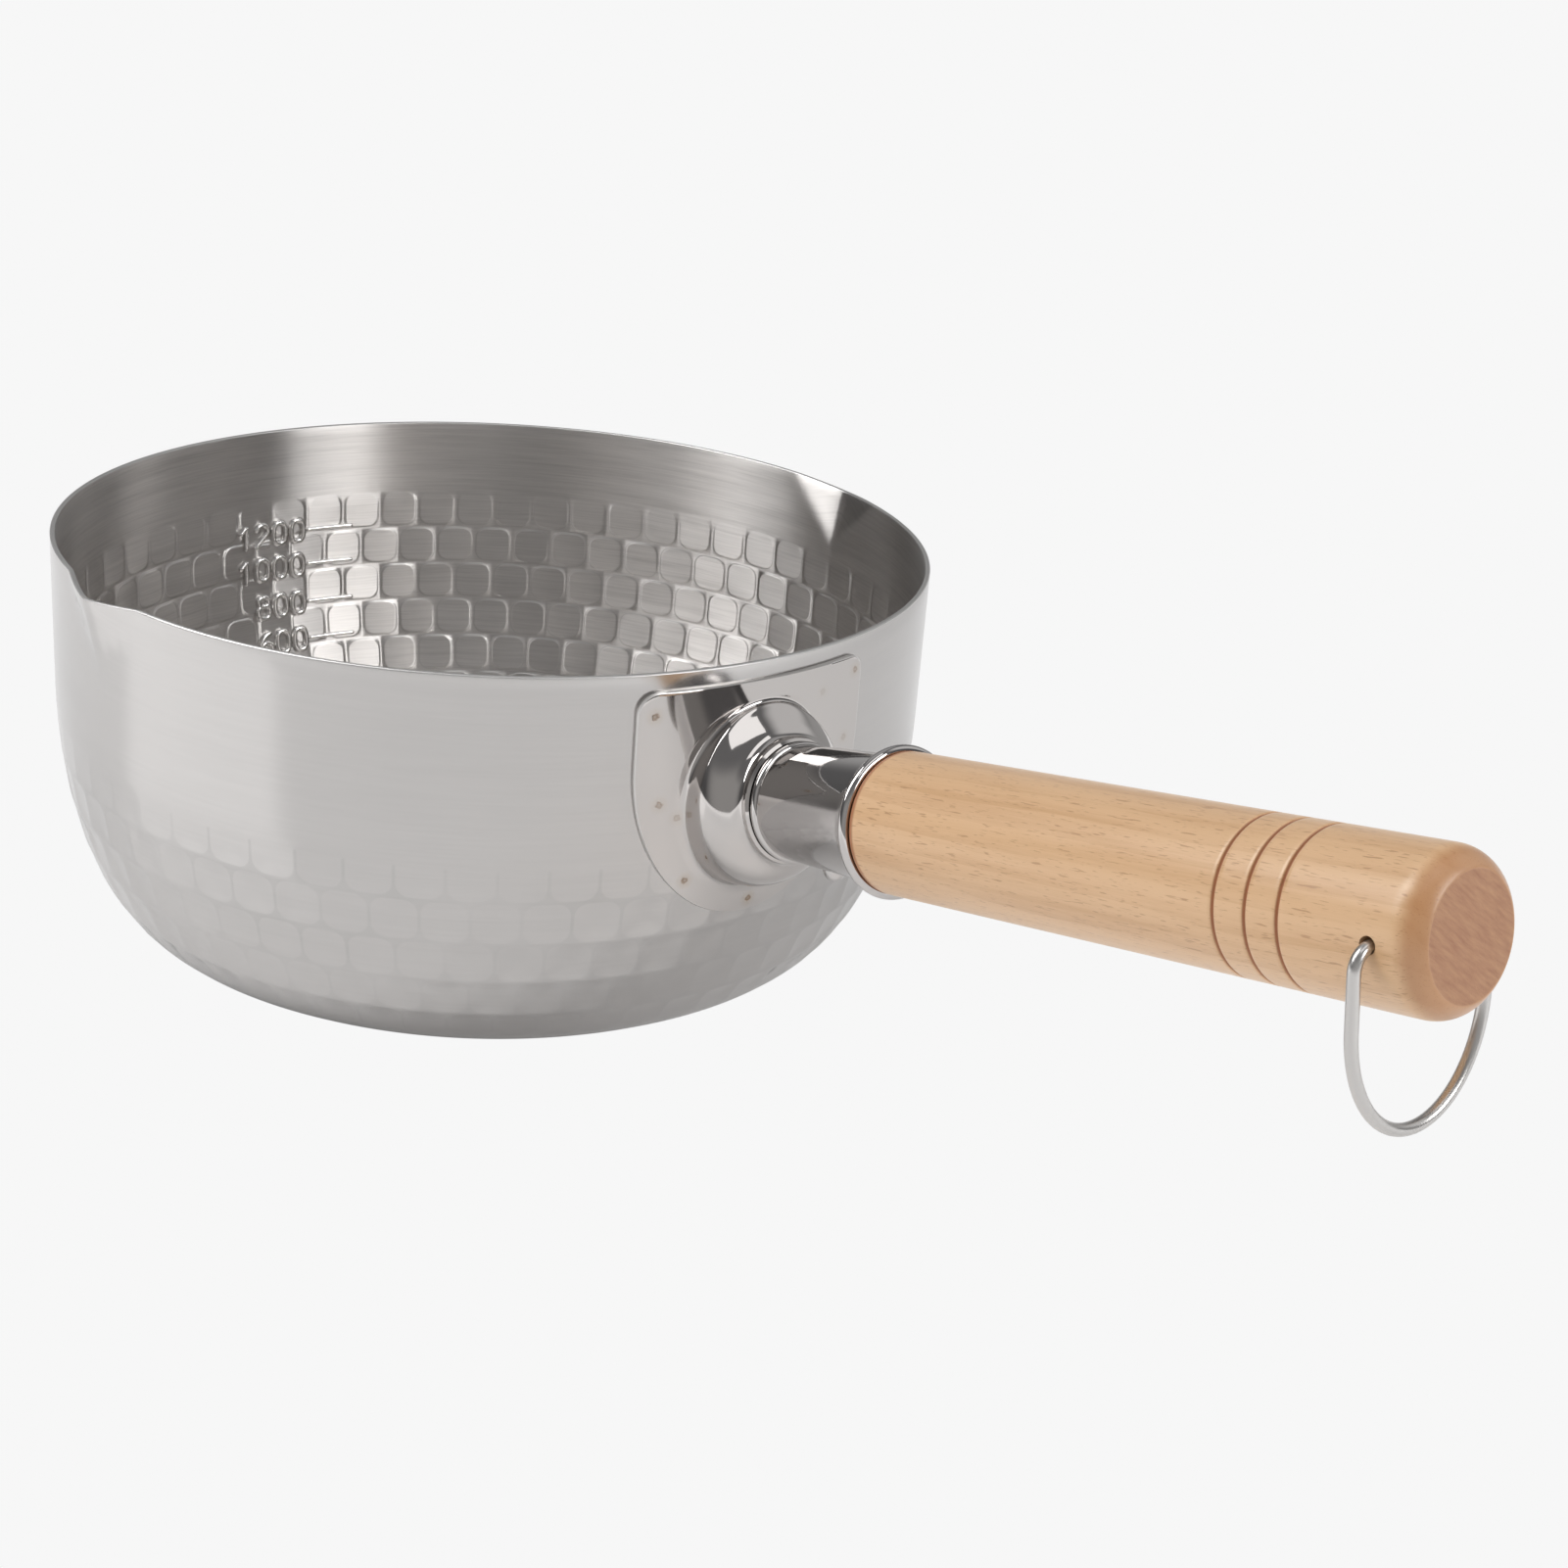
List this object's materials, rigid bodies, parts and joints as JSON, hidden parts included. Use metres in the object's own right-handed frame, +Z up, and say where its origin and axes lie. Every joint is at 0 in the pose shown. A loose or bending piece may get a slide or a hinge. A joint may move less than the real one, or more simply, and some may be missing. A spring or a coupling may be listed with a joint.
{
  "type": "noodle pot",
  "caption": "Round hammered-steel saucepan with pouring lips, a pressed bracket and socket, a turned wooden handle and a swinging wire loop to hang it by.",
  "frame": {"origin": "centre of the bowl's flat base, on the surface it stands on", "axes": "+X from the bowl's axis towards the handle, +Z up along the bowl's axis, +Y to the left when looking from the bowl towards the handle"},
  "size_m": [0.3363, 0.185, 0.1021],
  "materials": {
    "bowl_steel": "satin stainless sheet outside, brushed round the wall inside with a hammered pattern",
    "bracket_steel": "mirror-polished stainless sheet",
    "beech": "clear-lacquered beech with burnt grooves",
    "wire_steel": "bright drawn steel wire"
  },
  "bodies": {
    "pot": {"pot_body": "bowl_steel", "handle_bracket": "bracket_steel", "socket_tube": "bracket_steel", "wooden_handle": "beech", "retaining_screw": "bracket_steel"},
    "loop": {"hanging_loop": "wire_steel"}
  },
  "joints": [
    {"name": "loop_swing", "type": "hinge", "parent": "pot", "child": "loop", "pos_m": [0.23652, 0, 0.08917], "axis": [0, -1, 0], "range_deg": [-58, 246]}
  ]
}
